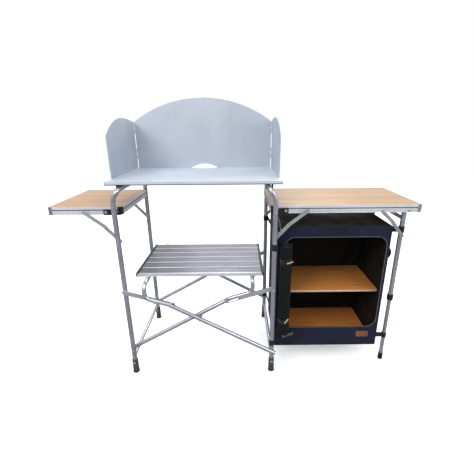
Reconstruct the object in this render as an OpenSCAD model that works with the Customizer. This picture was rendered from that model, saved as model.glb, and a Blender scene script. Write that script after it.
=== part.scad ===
// Folding camp kitchen table: a scissor tower with a metal top, a windshield and a slatted shelf,
// a small side table on its left, and a longer side table with a fabric cupboard on its right.
// Origin: on the floor, midway between the four tower legs. +X right, +Y back, +Z up.

/* [Tower] */
// half the distance between the left and right leg planes
leg_x = 285; // [250:320]
// half the distance between the front and back legs
leg_y = 200; // [190:230]
// height of the metal top
top_height = 800; // [760:850]
// radius of the leg tubes
leg_r = 9; // [8:11]
// wall of every round tube
tube_wall = 1.2; // [0.8:1.5]
// height where a leg starts to lean inward
lean_height = 722; // [700:740]
// height of the low stretcher between front and back leg
stretcher_height = 80; // [60:85]
// radius of the low stretchers
stretcher_r = 7; // [5:8]
// height of the rubber feet
foot_height = 62; // [40:66]
// outer radius of the rubber feet
foot_r = 11.6; // [11:14]

/* [Scissor] */
// height of the lower pivot of each crossing tube
low_pivot = 108; // [100:130]
// height of the crossing
cross_height = 267; // [240:290]
// radius of the crossing tubes
cross_r = 8; // [6:9]
// distance from the leg plane of the outer tube pair
outer_pair = 22; // [20:26]
// distance from the leg plane of the inner tube pair
inner_pair = 22; // [20:26]
// height of the link pivots on the legs
link_height = 380; // [360:400]
// distance of the link rivets from the middle
link_reach = 105; // [90:120]

/* [Shelf] */
// half the length of the slatted shelf
shelf_x = 251; // [235:253]
// half the depth of the slatted shelf
shelf_y = 163; // [150:165]
// number of slats
slat_count = 6; // [4:8]
// gap between two slats
slat_gap = 3.5; // [2:5]

/* [Metal top and windshield] */
// half the width of the metal top
plate_x = 309; // [300:320]
// thickness of the top and windshield sheet
sheet = 1.5; // [1:2]
// depth of the folded edge of the metal top
plate_edge = 12; // [8:14]
// half the width of the windshield back
shield_x = 300; // [290:305]
// height of the windshield sides above the top
shield_side = 198; // [150:220]
// height of the windshield crown above the top
shield_crown = 294; // [240:310]
// front edge of the wings, measured toward the front
wing_front = 136; // [100:160]

/* [Side tables] */
// height of both side tables
table_height = 705; // [690:720]
// half the depth of both side tables
table_y = 169; // [160:169]
// outer end of the left table
left_end = 536; // [480:560]
// inner end of the left table
left_inner = 268; // [262:272]
// outer end of the right table
right_end = 822; // [780:840]
// inner end of the right table
right_inner = 272; // [268:276]
// depth of the aluminium table rails
rail_depth = 19; // [15:22]
// width of the aluminium table rails
rail_width = 14; // [12:16]
// thickness of the table boards
board = 9; // [6:9]

/* [Outer legs] */
// distance of the outer legs from the middle
outer_x = 776; // [760:790]
// half the distance between the two outer legs
outer_y = 136; // [134:138]
// lower end of the upper leg tube
collar_height = 300; // [280:320]

/* [Cupboard] */
// left face of the cupboard
cup_left = 301; // [298:306]
// right face of the cupboard
cup_right = 733; // [700:734]
// front face of the cupboard
cup_front = 155; // [150:160]
// back face of the cupboard
cup_back = 125; // [100:140]
// underside of the cupboard
cup_low = 88; // [80:95]
// top of the cupboard
cup_high = 619; // [600:620]
// thickness of the fabric walls
fabric = 3; // [2:4]
// thickness of the cupboard boards
shelf_board = 9; // [8:14]
// front edge of the cupboard boards, inside the line of the outer legs
board_front = 122; // [112:124]
// top of the upper cupboard board
upper_board_top = 335; // [320:360]

/* [Hidden] */
$fn = 32;
gap = 0.3;                                  // running gap between moving pieces
pin_r = 3;                                  // rivet shank radius
hole = pin_r + 0.08;                        // rivet hole radius
half_cross = cross_height - low_pivot;
rise = atan(half_cross / leg_x);            // slope of the crossing tubes
outer_tube_y = leg_y + outer_pair;          // front-to-back place of the outer tube pair
inner_tube_y = leg_y - inner_pair;
link_z = cross_height + link_reach * tan(rise);
link_len = norm([leg_x - link_reach, link_height - link_z]);
link_tilt = atan2(link_z - link_height, leg_x - link_reach);
lean = 35;                                  // lean of the leg top
lean_r = 60;
corner_r = 22;
lean_dx = lean_r * (1 - cos(lean));
lean_dz = lean_r * sin(lean);
bar_x = leg_x - lean_dx - corner_r * sin(lean);      // top bar of each end frame
bar_z = lean_height + lean_dz + corner_r * cos(lean);
// crossing tube: straight, eased down a little, then up to the shelf bar
ease = 12;
ease_r = 60;
ease_start = (leg_x + 113) / cos(rise);
flat_run = 62;
turn = 75;
turn_r = 32;
rise_run = 8;
flat = rise - ease;
ease_dx = ease_r * (sin(rise) - sin(flat));
ease_dz = ease_r * (cos(flat) - cos(rise));
turn_dx = turn_r * (sin(flat + turn) - sin(flat));
turn_dz = turn_r * (cos(flat) - cos(flat + turn));
last = rise_run + corner_r;
shelf_bar_x = ease_start * cos(rise) + ease_dx + flat_run * cos(flat) + turn_dx
    + last * cos(flat + turn) - leg_x;
shelf_bar_z = low_pivot + ease_start * sin(rise) + ease_dz + flat_run * sin(flat) + turn_dz
    + last * sin(flat + turn);
shelf_low = shelf_bar_z + cross_r + gap;
shelf_thick = 12.5;
slat_thick = 6;
slat_w = (2 * (shelf_y - 5) - (slat_count - 1) * slat_gap) / slat_count;
plate_low = top_height - sheet;
rail_top = table_height - board;
rail_low = rail_top - rail_depth;
table_pivot = table_height - 16;            // height of the table pivots
outer_pivot = table_height - 23;
corner = 16;                                // size of the plastic table corners
lip = 2;
bar_t = 2.5;                                // thickness of stays and links
upper_plane = table_y + 4.4;                // stays run clear of the brackets
lower_plane = upper_plane + bar_t + 0.5;
// knee stays: arm along the table, arm down the leg, and the two bar lengths
knee_u = [119, 3];
knee_v = 112;
knee_low = 76;
knee_high = norm([knee_u[0], knee_v - knee_u[1]]) - knee_low + 0.6;
far_u = [96, 0];
far_low_plane = outer_y + leg_r + 2.3;      // lower outer stays, beside the leg and its strap
far_high_plane = far_low_plane + bar_t + 0.9;   // upper outer stays, beside the rail
far_v = 103;
far_low = 73.1;
far_high = 68.1;
inner_r = leg_r - tube_wall - gap;          // lower outer leg slides in the upper one
open_left = cup_left + 30;
open_right = cup_right - 13;
open_low = cup_low + 92;
open_high = cup_high - 42;
shield_y = 190;                             // front face of the windshield back
left_hinge = shield_y - 1.5;
right_hinge = shield_y - 4.5;
hinge_x = shield_x + 3.5;
hinge_r = 2.4;
shield_low = top_height + 0.3;
arch = shield_crown - shield_side;
arch_r = (shield_x * shield_x + arch * arch) / (2 * arch);
roll_r = 26;                                // rolled door
roll_x = cup_left + 30;
roll_y = cup_front + roll_r + 4.8;
strap_w = 24;                               // webbing width

silver = [0.75, 0.77, 0.80];
bright = [0.84, 0.86, 0.89];
black = [0.10, 0.10, 0.11];
bamboo = [0.80, 0.69, 0.54];
navy = [0.11, 0.13, 0.27];
orange = [0.66, 0.38, 0.13];

// ---------- shared shapes ----------

module front_and_back() { children(); mirror([0, 1, 0]) children(); }
module right_side() { mirror([1, 0, 0]) children(); }

module ring(r, wall = tube_wall) { difference() { circle(r); circle(r - wall); } }

// a straight tube along +Z, with whatever follows placed at its end
module run(r, length) {
    linear_extrude(length) ring(r);
    translate([0, 0, length]) { bend_mark(r); children(); }
}

// the faint ring that the bending tool leaves where a bend meets a straight length
module bend_mark(r) {
    translate([0, 0, -0.5]) linear_extrude(1) difference() {
        circle(r + 0.12);
        circle(r - tube_wall - 0.12);
    }
}

// a bend that starts along +Z and turns toward +X, with what follows at its end
module elbow(r, bend, angle) {
    translate([bend, 0, 0]) mirror([1, 0, 0]) rotate([90, 0, 0])
        rotate_extrude(angle = angle) translate([bend, 0]) ring(r);
    translate([bend * (1 - cos(angle)), 0, bend * sin(angle)]) rotate([0, angle, 0]) {
        bend_mark(r);
        children();
    }
}

// a solid round bar along Y from y0 to y1
module rod(x, z, r, y0, y1) {
    translate([x, min(y0, y1), z]) rotate([-90, 0, 0]) cylinder(r = r, h = abs(y1 - y0));
}

// rivet along Y: shank with a flat head at one or both ends
module rivet(x, z, y0, y1, head0 = true, head1 = true) {
    s = sign(y1 - y0);
    rod(x, z, pin_r, y0, y1);
    if (head0) rod(x, z, pin_r + 2.2, y0 - s * 1.4, y0);
    if (head1) rod(x, z, pin_r + 2.2, y1, y1 + s * 1.4);
}

// flat bar in the XZ plane from a to b, with round ends and a hole at each end, y0 to y0 + t
module flat_bar(a, b, w, y0, t, hole_a = hole, hole_b = hole) {
    d = b - a;
    len = norm(d);
    translate([a[0], y0 + t, a[1]]) rotate([0, -atan2(d[1], d[0]), 0]) rotate([90, 0, 0])
        linear_extrude(t) difference() {
            union() {
                circle(w / 2);
                translate([0, -w / 2]) square([len, w]);
                translate([len, 0]) circle(w / 2);
            }
            circle(hole_a);
            translate([len, 0]) circle(hole_b);
        }
}

module rounded(w, h, r) {
    translate([r, 0]) square([w - 2 * r, h]);
    translate([0, r]) square([w, h - 2 * r]);
    for (x = [r, w - r], y = [r, h - r]) translate([x, y]) circle(r);
}

module block(x0, x1, y0, y1, z0, z1) {
    translate([x0, y0, z0]) cube([x1 - x0, y1 - y0, z1 - z0]);
}

// ---------- end frames of the tower ----------

// one end frame on the left side: two legs and a top bar bent from one tube
module end_frame() {
    color(silver) difference() {
        front_and_back() translate([-leg_x, -leg_y, 4])
            run(leg_r, lean_height - 4) elbow(leg_r, lean_r, lean)
            rotate([0, 0, 90]) elbow(leg_r, corner_r, 90)
            rotate([0, 0, -90]) run(leg_r, leg_y - corner_r);
        for (z = [table_pivot, table_pivot - knee_v, link_height, low_pivot, 50])
            rod(-leg_x, z, hole, -leg_y - 20, leg_y + 20);
    }
}

module low_stretcher() {
    color(silver) difference() {
        rod(-leg_x, stretcher_height, stretcher_r, -leg_y, leg_y);
        rod(-leg_x, stretcher_height, stretcher_r - tube_wall, -leg_y - 1, leg_y + 1);
        for (s = [-1, 1]) translate([-leg_x, s * leg_y, 0]) cylinder(r = leg_r + 0.05, h = 200);
    }
}

module feet() {
    color(black) front_and_back() translate([-leg_x, -leg_y, 0]) difference() {
        union() {
            cylinder(r = foot_r + 1.4, h = 6);
            cylinder(r = foot_r, h = foot_height);
        }
        translate([0, 0, 4]) cylinder(r = leg_r + 0.05, h = foot_height);
        translate([0, 0, 50]) rotate([90, 0, 0]) cylinder(r = hole, h = 60, center = true);
    }
}

// pins shared by both end frames: table pivot, stay pivot and foot rivet
module frame_pins() {
    out = leg_y + leg_r + 0.1;
    inside = leg_y - leg_r;
    color(bright) front_and_back() {
        rivet(-leg_x, table_pivot, -out, -table_y - 0.4, head1 = false);
        rod(-leg_x, table_pivot, 5.5, -inside, -table_y - bar_t - 0.5);
        rivet(-leg_x, table_pivot - knee_v, -out, -lower_plane - 0.1, head1 = false);
        rod(-leg_x, table_pivot - knee_v, 5.5, -inside, -lower_plane - bar_t - 0.3);
        rivet(-leg_x, 50, -leg_y - foot_r - 0.1, -leg_y + foot_r + 0.1);
    }
}

module left_leg_frame() { end_frame(); }
module left_stretcher() { low_stretcher(); }
module left_feet() { feet(); }
module left_leg_pins() {
    frame_pins();
    color(bright) front_and_back() {
        // link pivot on the outside, inner crossing tube on the inside
        rivet(-leg_x, link_height, -leg_y - leg_r - 1.4 - bar_t - 0.4, -leg_y + leg_r);
        rod(-leg_x, link_height, 5, -leg_y - leg_r - 0.9, -leg_y - leg_r);
        rivet(-leg_x, low_pivot, -leg_y - leg_r - 0.1, -inner_tube_y + cross_r + 0.2);
        rod(-leg_x, low_pivot, 6, -leg_y + leg_r, -inner_tube_y - cross_r - gap);
    }
}

module right_leg_frame() { right_side() end_frame(); }
module right_stretcher() { right_side() low_stretcher(); }
module right_feet() { right_side() feet(); }
module right_leg_pins() {
    right_side() frame_pins();
    color(bright) front_and_back() {
        // link pivot on the inside, outer crossing tube on the outside
        rivet(leg_x, link_height, -leg_y + leg_r + 1.4 + bar_t + 0.4, -leg_y - leg_r);
        rod(leg_x, link_height, 5, -leg_y + leg_r, -leg_y + leg_r + 0.9);
        rivet(leg_x, low_pivot, -outer_tube_y - cross_r - 0.2, -leg_y + leg_r + 0.1);
        rod(leg_x, low_pivot, 6, -outer_tube_y + cross_r + gap, -leg_y - leg_r);
    }
}

// ---------- scissor ----------

// a pair of crossing tubes joined by the shelf bar, from the right leg up to the left
module crossing(tube_y) {
    color(silver) difference() {
        front_and_back() translate([leg_x, -tube_y, low_pivot]) rotate([0, rise - 90, 0])
            translate([0, 0, -13]) run(cross_r, ease_start + 13)
            rotate([0, 0, 180]) elbow(cross_r, ease_r, ease)
            rotate([0, 0, 180]) run(cross_r, flat_run) elbow(cross_r, turn_r, turn)
            run(cross_r, rise_run) rotate([0, 0, 90]) elbow(cross_r, corner_r, 90)
            rotate([0, 0, -90]) run(cross_r, tube_y - corner_r);
        for (p = [[leg_x, low_pivot], [0, cross_height], [-link_reach, link_z]])
            rod(p[0], p[1], hole, -tube_y - 20, tube_y + 20);
    }
}

module cross_tube_a() { crossing(outer_tube_y); }
module cross_tube_b() { right_side() crossing(inner_tube_y); }

module cross_a_rivets() {
    // the rivet's inner end runs in the slot of the left link
    color(bright) front_and_back()
        rivet(-link_reach, link_z, -outer_tube_y - cross_r - 0.1, -leg_y - leg_r - 0.4);
}

module cross_b_pins() {
    color(bright) front_and_back() {
        rivet(0, cross_height, -outer_tube_y - cross_r - 0.3, -inner_tube_y + cross_r + 0.1);
        rod(0, cross_height, 6, -outer_tube_y + cross_r + gap, -inner_tube_y - cross_r);
        rivet(link_reach, link_z, -inner_tube_y + cross_r + 0.1, -leg_y + leg_r + 0.4);
    }
}

// a link from the leg to a crossing tube, with the slot that lets the rivet run
module link_pair(y0) {
    slot = 43;
    slot_w = 2 * pin_r + 7.4;
    w = 18;
    color(bright) front_and_back()
        translate([-leg_x, y0 + bar_t, link_height]) rotate([0, -link_tilt, 0])
        rotate([90, 0, 0]) linear_extrude(bar_t) difference() {
            union() {
                circle(w / 2);
                translate([0, -w / 2]) square([link_len + 1, w]);
                translate([link_len + 1, 0]) circle(w / 2);
            }
            circle(hole);
            translate([link_len - slot + 4, -slot_w / 2]) square([slot - 5, slot_w]);
            for (x = [link_len - slot + 4, link_len - 1]) translate([x, 0]) circle(slot_w / 2);
        }
}

module left_links() { link_pair(-leg_y - leg_r - 1.2 - bar_t); }
module right_links() { right_side() link_pair(-leg_y + leg_r + 1.2); }

// ---------- slatted shelf ----------

module shelf_slats() {
    x = shelf_x - 11;
    color(bright) for (i = [0 : slat_count - 1])
        translate([-x, -shelf_y + 5 + i * (slat_w + slat_gap), shelf_low + shelf_thick - slat_thick])
            rotate([90, 0, 90]) linear_extrude(2 * x) difference() {
                rounded(slat_w, slat_thick, 2);
                for (k = [0, 1]) translate([1.5 + k * (slat_w - 2) / 2, 1.4])
                    square([slat_w / 2 - 2, slat_thick - 2.8]);
            }
}

module shelf_edge_rails() {
    color(bright) front_and_back() difference() {
        block(-shelf_x + 6, shelf_x - 6, -shelf_y, -shelf_y + 4.8, shelf_low, shelf_low + shelf_thick);
        block(-shelf_x, shelf_x, -shelf_y + 1.6, -shelf_y + 6, shelf_low + 1.6, shelf_low + 6);
    }
}

module shelf_end_rails() {
    color(black) for (s = [0, 1]) mirror([s, 0, 0]) difference() {
        translate([-shelf_x, -shelf_y, shelf_low]) linear_extrude(shelf_thick + 0.8)
            rounded(12, 2 * shelf_y, 4);
        block(-shelf_x + 10.95, -shelf_x + 20, -shelf_y + 4.9, shelf_y - 4.9,
            shelf_low + shelf_thick - slat_thick - 0.05, shelf_low + shelf_thick + 2);
        front_and_back() block(-shelf_x + 5.95, -shelf_x + 20, -shelf_y - 1, -shelf_y + 4.85,
            shelf_low - 1, shelf_low + shelf_thick + 0.05);
    }
}

module shelf_clips() {
    // hooks on the outer side of each shelf bar, open toward the middle
    color(black) for (s = [0, 1], y = [-138, 112]) mirror([s, 0, 0]) {
        block(-shelf_bar_x - cross_r - 5, -shelf_bar_x + 10, y, y + 26,
            shelf_low + 0.1, shelf_low + shelf_thick - slat_thick - 0.05);
        block(-shelf_bar_x - cross_r - 5, -shelf_bar_x - cross_r - 0.4, y, y + 26,
            shelf_bar_z - 9, shelf_low + 0.1);
    }
}

// ---------- metal top and windshield ----------

module top_plate() {
    y0 = -leg_y;
    y1 = leg_y - 2;
    color(bright) difference() {
        translate([-plate_x, y0, top_height - plate_edge]) linear_extrude(plate_edge)
            rounded(2 * plate_x, y1 - y0, 6);
        translate([-plate_x + sheet, y0 + sheet, top_height - plate_edge - 1])
            linear_extrude(plate_edge + 1 - sheet)
            rounded(2 * (plate_x - sheet), y1 - y0 - 2 * sheet, 4.5);
        for (s = [-1, 1]) block(s * 200 - 16, s * 200 + 16, shield_y - 0.4, shield_y + sheet + 0.4,
            top_height - 10, top_height + 10);
    }
}

module top_plate_clips() {
    // saddles over the top bars, hooked on the outer side only so that the top lifts off
    hook = bar_x + leg_r + 2.8;
    color(black) for (s = [0, 1], y = [-172, 140]) mirror([s, 0, 0]) {
        block(-hook - 4, -bar_x + 12, y, y + 28, bar_z + leg_r + gap, plate_low);
        block(-hook - 4, -hook, y, y + 28, bar_z - 6, bar_z + leg_r + gap);
    }
}

module windshield_back() {
    notch = 18;
    notch_r = (60 * 60 + notch * notch) / (2 * notch);
    color(bright) {
        translate([0, shield_y + sheet, 0]) rotate([90, 0, 0]) linear_extrude(sheet)
            difference() {
                union() {
                    translate([-shield_x, shield_low])
                        square([2 * shield_x, shield_side - 0.3]);
                    intersection() {
                        translate([0, top_height + shield_crown - arch_r]) circle(arch_r, $fn = 120);
                        translate([-shield_x, top_height + 100]) square([2 * shield_x, 300]);
                    }
                }
                translate([0, shield_low + notch - notch_r]) circle(notch_r, $fn = 96);
            }
        for (s = [-1, 1]) block(s * 200 - 15, s * 200 + 15, shield_y, shield_y + sheet,
            top_height - 12, shield_low + 1);
        // hinge knuckles and their pins
        for (side = [[-1, left_hinge], [1, right_hinge]]) for (z = [40, 150])
            translate([side[0] * hinge_x, side[1], top_height + z]) {
                cylinder(r = hinge_r, h = 16);
                translate([0, 0, 31]) cylinder(r = hinge_r, h = 16);
                cylinder(r = 1, h = 47);
                for (k = [0, 31]) translate([side[0] * -1.75 - 3, 0, k])
                    cube([6, shield_y + sheet - side[1], 16]);
            }
    }
}

// wing outline: x is the distance in front of the hinge, y the height above the top
module wing_outline(front) {
    intersection() {
        translate([0.4, 0.8]) square([front - 0.4, 260]);
        union() {
            intersection() {
                translate([front - 179, 211 - 728]) circle(728, $fn = 200);
                square([front - 179, 300]);
            }
            intersection() {
                translate([front - 179, 211 - 285]) circle(285, $fn = 120);
                translate([front - 179, 0]) square([179, 300]);
            }
        }
        union() {
            square([front - 26, 300]);
            square([front, 140]);
            translate([front - 26, 140]) circle(26);
        }
    }
}

module wing(front) {
    color(bright) difference() {
        union() {
            rotate([90, 0, -90]) translate([0, 0, -sheet / 2]) linear_extrude(sheet)
                wing_outline(front);
            for (z = [56.5, 166.5]) translate([0, 0, z]) cylinder(r = hinge_r, h = 14);
        }
        for (z = [39.5, 149.5]) {
            translate([0, 0, z]) cylinder(r = 1.25, h = 48);
            for (k = [0, 31]) translate([-5, -hinge_r - 3.2, z + k]) cube([10, 7.6, 17]);
        }
    }
}

module left_wing() {
    translate([-hinge_x, left_hinge, top_height]) wing(wing_front + left_hinge);
}
module right_wing() {
    translate([hinge_x, right_hinge, top_height]) wing(wing_front + right_hinge - 8);
}

// ---------- side tables ----------

module table_board(x0, x1) {
    i = lip + 0.15;
    color(bamboo) translate([x0 + i, -table_y + i, rail_top])
        linear_extrude(board) rounded(x1 - x0 - 2 * i, 2 * table_y - 2 * i, 4);
}

// long rails: a box section under the board and a thin lip beside it
module side_rails(x0, x1) {
    color(silver) front_and_back() difference() {
        block(x0 + corner, x1 - corner, -table_y, -table_y + rail_width, rail_low, table_height + 0.4);
        block(x0, x1, -table_y + lip, table_y, rail_top, table_height + 2);
        block(x0, x1, -table_y + 1.5, -table_y + rail_width - 1.5, rail_low + 1.5, rail_top - 1.5);
        for (x = rivet_places(x0, x1)) rod(x[0], x[1], hole, -table_y - 5, -table_y + 20);
    }
}

// rivet places in the long rails of each table
function rivet_places(x0, x1) = x0 < 0
    ? [[-leg_x - 41, table_pivot - 2], [-leg_x - knee_u[0], table_pivot - knee_u[1]]]
    : [[leg_x + 41, table_pivot - 2], [leg_x + knee_u[0], table_pivot - knee_u[1]],
        [outer_x - far_u[0], outer_pivot], [outer_x, outer_pivot]];

module end_rails(x0, x1) {
    color(silver) for (side = [[x0, 0], [x1, 1]])
        translate([side[0], 0, 0]) mirror([side[1], 0, 0])
            difference() {
                block(0, rail_width, -table_y + corner, table_y - corner, rail_low, table_height + 0.4);
                block(lip, 40, -table_y, table_y, rail_top, table_height + 2);
                block(1.5, rail_width - 1.5, -table_y, table_y, rail_low + 1.5, rail_top - 1.5);
            }
}

module corners(x0, x1) {
    color(black) front_and_back() for (side = [[x0, 0], [x1, 1]])
        translate([side[0], -table_y, rail_low]) mirror([side[1], 0, 0]) difference() {
            linear_extrude(rail_depth + board + 0.6) intersection() {
                rounded(corner + 8, corner + 8, 6);
                square([corner, corner]);
            }
            translate([lip, lip, rail_depth]) cube([40, 40, 40]);
        }
}

// black plate that carries a table on its leg pin
module table_bracket() {
    x0 = -leg_x - 50;
    color(black) front_and_back()
        translate([x0, -table_y - 0.1, rail_low - 1]) rotate([90, 0, 0]) linear_extrude(bar_t)
        difference() {
            rounded(-leg_x + 13 - x0, 21, 5);
            translate([50, table_pivot - rail_low + 1]) circle(hole);
            translate([9, table_pivot - 2 - rail_low + 1]) circle(hole);
        }
}

// rivets on the left side of a table: bracket rivet and stay pivot
module table_rivets() {
    inner = -table_y + rail_width + 0.1;
    color(bright) front_and_back() {
        rivet(-leg_x - 41, table_pivot - 2, -table_y - bar_t - 0.2, inner);
        rivet(-leg_x - knee_u[0], table_pivot - knee_u[1], -upper_plane - bar_t, inner, head0 = false);
        rod(-leg_x - knee_u[0], table_pivot - knee_u[1], 5, -upper_plane + 0.1, -table_y);
    }
}

// knee stay bars in the corner of the left table; the right table mirrors them
function left_knee() = let (
    o = [-leg_x, table_pivot],
    u = o + [-knee_u[0], -knee_u[1]],
    v = o + [0, -knee_v],
    d = norm(u - v),
    a = (knee_low * knee_low - knee_high * knee_high + d * d) / (2 * d),
    h = sqrt(max(0, knee_low * knee_low - a * a)),
    e = (u - v) / d) [u, v, v + a * e + h * [e[1], -e[0]]];

module upper_knee_bars() {
    k = left_knee();
    color(bright) front_and_back() flat_bar(k[0], k[2], 13, -upper_plane - bar_t, bar_t, hole, 2);
}
module lower_knee_bars() {
    k = left_knee();
    color(bright) front_and_back() {
        flat_bar(k[1], k[2], 13, -lower_plane - bar_t, bar_t, hole, 2);
        rod(k[2][0], k[2][1], 5, -lower_plane - bar_t - 1.5, -lower_plane - bar_t);
        rod(k[2][0], k[2][1], 2, -lower_plane - bar_t, -lower_plane);
    }
}

module left_table_board() { table_board(-left_end, -left_inner); }
module left_table_side_rails() { side_rails(-left_end, -left_inner); }
module left_table_end_rails() { end_rails(-left_end, -left_inner); }
module left_table_corners() { corners(-left_end, -left_inner); }
module left_table_brackets() { table_bracket(); }
module left_table_pins() { table_rivets(); }
module left_upper_stays() { upper_knee_bars(); }
module left_lower_stays() { lower_knee_bars(); }

module right_table_board() { table_board(right_inner, right_end); }
module right_table_side_rails() { side_rails(right_inner, right_end); }
module right_table_end_rails() { end_rails(right_inner, right_end); }
module right_table_corners() { corners(right_inner, right_end); }
module right_table_brackets() { right_side() table_bracket(); }
module right_table_pins() {
    right_side() table_rivets();
    color(bright) front_and_back()
        rivet(outer_x - far_u[0], outer_pivot, -table_y - 0.1, -far_high_plane - 0.2, head1 = false);
}
module right_upper_stays() { right_side() upper_knee_bars(); }
module right_lower_stays() { right_side() lower_knee_bars(); }

// thin return springs beside the right-hand knees, carried by the lower bars
module stay_springs() {
    k = left_knee();
    m = (k[1] + k[2]) / 2;
    y = -lower_plane - bar_t - 1.2;
    color(silver) right_side() front_and_back() {
        rod(m[0], m[1], 1, y - 1, y + 1.2);
        translate([m[0], y - 0.4, m[1]]) rotate([0, 12, 0]) cylinder(r = 0.8, h = 62);
        translate([m[0], y - 0.4, m[1]]) rotate([0, 12, 0]) translate([0, 0, 14])
            cylinder(r = 2.2, h = 30);
    }
}

// ---------- outer legs ----------

module outer_upper_legs() {
    color(silver) front_and_back() difference() {
        union() {
            translate([outer_x, -outer_y, collar_height])
                linear_extrude(outer_pivot - collar_height) ring(leg_r);
            rod(outer_x, outer_pivot, leg_r, -outer_y - leg_r, -outer_y + leg_r);
        }
        rod(outer_x, outer_pivot, hole, -outer_y - 20, -outer_y + 20);
        rod(outer_x, outer_pivot - far_v, hole, -outer_y - 20, -outer_y + 20);
        for (z = [427, 401]) translate([outer_x, -outer_y, z]) rotate([90, 0, 0])
            cylinder(r = 3.2, h = 20);
    }
}

module outer_stretcher() {
    z = 645;
    color(silver) difference() {
        rod(outer_x, z, stretcher_r, -outer_y, outer_y);
        rod(outer_x, z, stretcher_r - tube_wall, -outer_y - 1, outer_y + 1);
        for (s = [-1, 1]) translate([outer_x, s * outer_y, 300]) cylinder(r = leg_r + 0.05, h = 400);
    }
}

module outer_collars() {
    color(black) front_and_back() translate([outer_x, -outer_y, collar_height - 3]) difference() {
        union() {
            cylinder(r = leg_r + 2.6, h = 24);
            translate([0, 0, 8]) cylinder(r = leg_r + 3.4, h = 6);
        }
        translate([0, 0, -1]) cylinder(r = inner_r + gap, h = 30);
        translate([0, 0, 3]) cylinder(r = leg_r + 0.05, h = 30);
    }
}

module outer_leg_pins() {
    color(bright) front_and_back() {
        rivet(outer_x, outer_pivot, -table_y - 0.1, -outer_y + leg_r + 0.1);
        // the stay pivot is flush with the bar, so the upper bar can pass over it
        rivet(outer_x, outer_pivot - far_v, -far_low_plane - bar_t + 0.1, -outer_y + leg_r + 0.1,
            head0 = false);
        rod(outer_x, outer_pivot - far_v, 5, -far_low_plane + 0.1, -outer_y - leg_r);
        for (z = [427, 401]) rod(outer_x, z, 3, -outer_y - leg_r - 1.6, -outer_y - leg_r + 0.9);
    }
}

module outer_lower_legs() {
    color(silver) front_and_back() translate([outer_x, -outer_y, 4])
        linear_extrude(collar_height + 41) ring(inner_r);
}

module outer_feet() {
    color(black) front_and_back() translate([outer_x, -outer_y, 0]) difference() {
        cylinder(r = inner_r + 2, h = 30);
        translate([0, 0, 4]) cylinder(r = inner_r + 0.05, h = 40);
    }
}

// knee of the outer legs, inside the table rail
function far_knee() = let (
    u = [outer_x - far_u[0], outer_pivot],
    v = [outer_x, outer_pivot - far_v],
    d = norm(u - v),
    a = (far_low * far_low - far_high * far_high + d * d) / (2 * d),
    h = sqrt(max(0, far_low * far_low - a * a)),
    e = (u - v) / d) [u, v, v + a * e + h * [e[1], -e[0]]];

module outer_upper_stays() {
    k = far_knee();
    color(bright) front_and_back()
        flat_bar(k[0], k[2], 13, -far_high_plane - bar_t, bar_t, hole, 2);
}
module outer_lower_stays() {
    k = far_knee();
    color(bright) front_and_back() {
        flat_bar(k[1], k[2], 13, -far_low_plane - bar_t, bar_t, hole, 2);
        rod(k[2][0], k[2][1], 2, -far_low_plane - bar_t, -far_low_plane);
    }
}

// ---------- fabric cupboard ----------

module door_opening(grow = 0) {
    r = 38 + grow;
    translate([open_left - grow, open_low - grow])
        rounded(open_right - open_left + 2 * grow, open_high - open_low + 2 * grow, r);
}

module cupboard_front() {
    color(navy) translate([0, -cup_front + fabric, 0]) rotate([90, 0, 0]) linear_extrude(fabric)
        difference() {
            translate([cup_left, cup_low]) rounded(cup_right - cup_left, cup_high - cup_low, 8);
            door_opening();
        }
}

module cupboard_sides() {
    color(navy) for (x = [cup_left, cup_right - fabric])
        block(x, x + fabric, -cup_front + fabric, cup_back - fabric, cup_low, cup_high);
}

module cupboard_back() {
    color(black) block(cup_left, cup_right, cup_back - fabric, cup_back, cup_low, cup_high);
}

module cupboard_top() {
    color(black) block(cup_left + fabric, cup_right - fabric, -cup_front + fabric,
        cup_back - fabric, cup_high - fabric, cup_high);
}

module cupboard_bottom() {
    color(black) block(cup_left + fabric, cup_right - fabric, -cup_front + fabric,
        cup_back - fabric, cup_low, cup_low + fabric);
}

module cupboard_piping() {
    color(silver) translate([0, -cup_front, 0]) rotate([90, 0, 0]) linear_extrude(2)
        difference() { door_opening(5); door_opening(); }
}

module door_roll() {
    color(black) translate([roll_x, -roll_y, 176]) cylinder(r = roll_r, h = 384);
}

// webbing loops round one pair of legs, front and back, with tails to the cupboard wall
module leg_loops(x, y, r, wall_x, heights) {
    color(black) for (side = [[-1, cup_front], [1, cup_back]], z = heights) {
        near = wall_x > x ? 1 : -1;
        from = [x + near * (r + 1.2), side[0] * y];
        to = [wall_x - near * 0.8, side[0] * min(y, side[1] - 12)];
        difference() {
            union() {
                translate([x, side[0] * y, z]) cylinder(r = r + 2, h = strap_w);
                webbing(from, to, z);
            }
            translate([x, side[0] * y, z - 1]) cylinder(r = r + 0.4, h = strap_w + 2);
        }
    }
}

// a flat upright strap from one point to another, seen from above
module webbing(from, to, z) {
    d = to - from;
    translate([from[0], from[1], z]) rotate([0, 0, atan2(d[1], d[0])])
        translate([0, -0.6, 0]) cube([norm(d), 1.2, strap_w]);
}

module cupboard_straps() {
    leg_loops(leg_x, leg_y, leg_r, cup_left, [544, 128]);
    leg_loops(outer_x, outer_y, inner_r, cup_right, [112]);
    // ties round the rolled door
    color(black) for (z = [230, 490])
        translate([roll_x, -roll_y, z]) difference() {
            cylinder(r = roll_r + 2, h = 18);
            translate([0, 0, -1]) cylinder(r = roll_r + 0.05, h = 20);
        }
}

module outer_straps() { leg_loops(outer_x, outer_y, leg_r, cup_right, [590]); }

module cupboard_handle() {
    color(black) translate([cup_right, -100, 495]) rotate([90, 0, 0]) difference() {
        translate([0, 0, -12]) cylinder(r = 32, h = 24);
        translate([0, 0, -13]) cylinder(r = 30, h = 26);
        translate([-50, -50, -20]) cube([50, 100, 40]);
    }
}

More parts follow.
